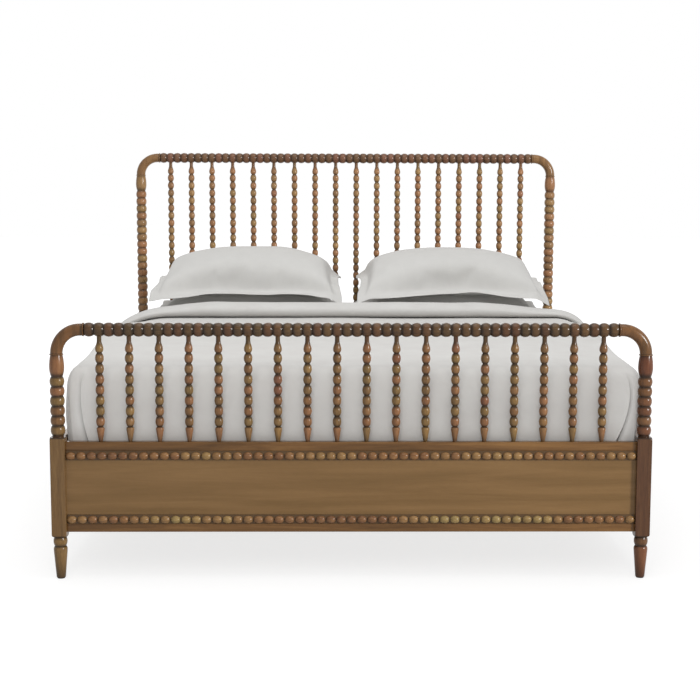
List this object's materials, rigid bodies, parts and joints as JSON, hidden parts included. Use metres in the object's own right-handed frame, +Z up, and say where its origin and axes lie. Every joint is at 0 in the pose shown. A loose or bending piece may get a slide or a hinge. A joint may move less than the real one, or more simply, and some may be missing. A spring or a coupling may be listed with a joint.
{
  "type": "spool bed",
  "caption": "King-size wooden spool bed: beaded posts, rounded corners, spindled headboard and footboard with a panel, slatted deck, mattress, comforter and stacked pillows.",
  "frame": {"origin": "on the floor, at the middle of the bed's outline", "axes": "+X across the bed, to the right as seen from its foot; +Y from the footboard to the headboard; +Z up"},
  "size_m": [2.02, 2.156, 1.4819],
  "materials": {
    "stained_wood": "brown stain under satin lacquer, turned",
    "panel_wood": "brown stain under satin lacquer, flat",
    "moulding_wood": "brown stain under satin lacquer, half-barrel beads",
    "plain_wood": "planed, unfinished",
    "zinc_steel": "zinc plated",
    "glide_nylon": "moulded",
    "mattress_ticking": "woven cotton",
    "comforter_cotton": "plain woven cotton",
    "pillow_cotton": "plain woven cotton"
  },
  "bodies": {
    "frame": {"footboard_post_left": "stained_wood", "footboard_post_right": "stained_wood", "footboard_elbow_left": "stained_wood", "footboard_elbow_right": "stained_wood", "headboard_post_left": "stained_wood", "headboard_post_right": "stained_wood", "headboard_elbow_left": "stained_wood", "headboard_elbow_right": "stained_wood", "footboard_spindles": "stained_wood", "footboard_top_rail": "stained_wood", "footboard_upper_rail": "stained_wood", "footboard_lower_rail": "stained_wood", "headboard_spindles": "stained_wood", "headboard_top_rail": "stained_wood", "headboard_upper_rail": "stained_wood", "headboard_lower_rail": "stained_wood", "side_rail_left": "stained_wood", "side_rail_right": "stained_wood", "footboard_panel": "panel_wood", "headboard_panel": "panel_wood", "footboard_bead_moulding_lower": "moulding_wood", "footboard_bead_moulding_upper": "moulding_wood", "footboard_cleat": "plain_wood", "headboard_cleat": "plain_wood", "ledger_left": "plain_wood", "ledger_right": "plain_wood", "slats": "plain_wood", "center_beam": "plain_wood", "support_leg_1": "plain_wood", "support_leg_2": "plain_wood", "support_leg_3": "plain_wood", "elbow_dowels": "plain_wood", "beam_hangers": "zinc_steel", "rail_hook_plates": "zinc_steel", "post_receiver_plates": "zinc_steel", "fastener_screws": "zinc_steel", "ledger_screws": "zinc_steel", "slat_screws": "zinc_steel", "support_bolts": "zinc_steel", "leveller_nuts": "zinc_steel", "leg_glides": "glide_nylon"},
    "mattress": {"mattress": "mattress_ticking", "comforter": "comforter_cotton", "comforter_fold": "comforter_cotton"},
    "pillow_lower_left": {"pillow_lower_left": "pillow_cotton"},
    "pillow_lower_right": {"pillow_lower_right": "pillow_cotton"},
    "pillow_upper_left": {"pillow_upper_left": "pillow_cotton"},
    "pillow_upper_right": {"pillow_upper_right": "pillow_cotton"},
    "leveller_1": {"leveller_1": "zinc_steel"},
    "leveller_2": {"leveller_2": "zinc_steel"},
    "leveller_3": {"leveller_3": "zinc_steel"}
  },
  "joints": [
    {"name": "mattress_lift", "type": "slide", "parent": "frame", "child": "mattress", "axis": [0, 0, 1], "range_m": [0, 0.45]},
    {"name": "pillow_lower_left_lift", "type": "slide", "parent": "mattress", "child": "pillow_lower_left", "axis": [0, 0, 1], "range_m": [0, 0.3]},
    {"name": "pillow_upper_left_lift", "type": "slide", "parent": "pillow_lower_left", "child": "pillow_upper_left", "axis": [0, 0, 1], "range_m": [0, 0.3]},
    {"name": "pillow_lower_right_lift", "type": "slide", "parent": "mattress", "child": "pillow_lower_right", "axis": [0, 0, 1], "range_m": [0, 0.3]},
    {"name": "pillow_upper_right_lift", "type": "slide", "parent": "pillow_lower_right", "child": "pillow_upper_right", "axis": [0, 0, 1], "range_m": [0, 0.3]},
    {"name": "leveller_1_screw", "type": "slide", "parent": "frame", "child": "leveller_1", "axis": [0, 0, 1], "range_m": [-0.01, 0.012]},
    {"name": "leveller_2_screw", "type": "slide", "parent": "frame", "child": "leveller_2", "axis": [0, 0, 1], "range_m": [-0.01, 0.012]},
    {"name": "leveller_3_screw", "type": "slide", "parent": "frame", "child": "leveller_3", "axis": [0, 0, 1], "range_m": [-0.01, 0.012]}
  ]
}
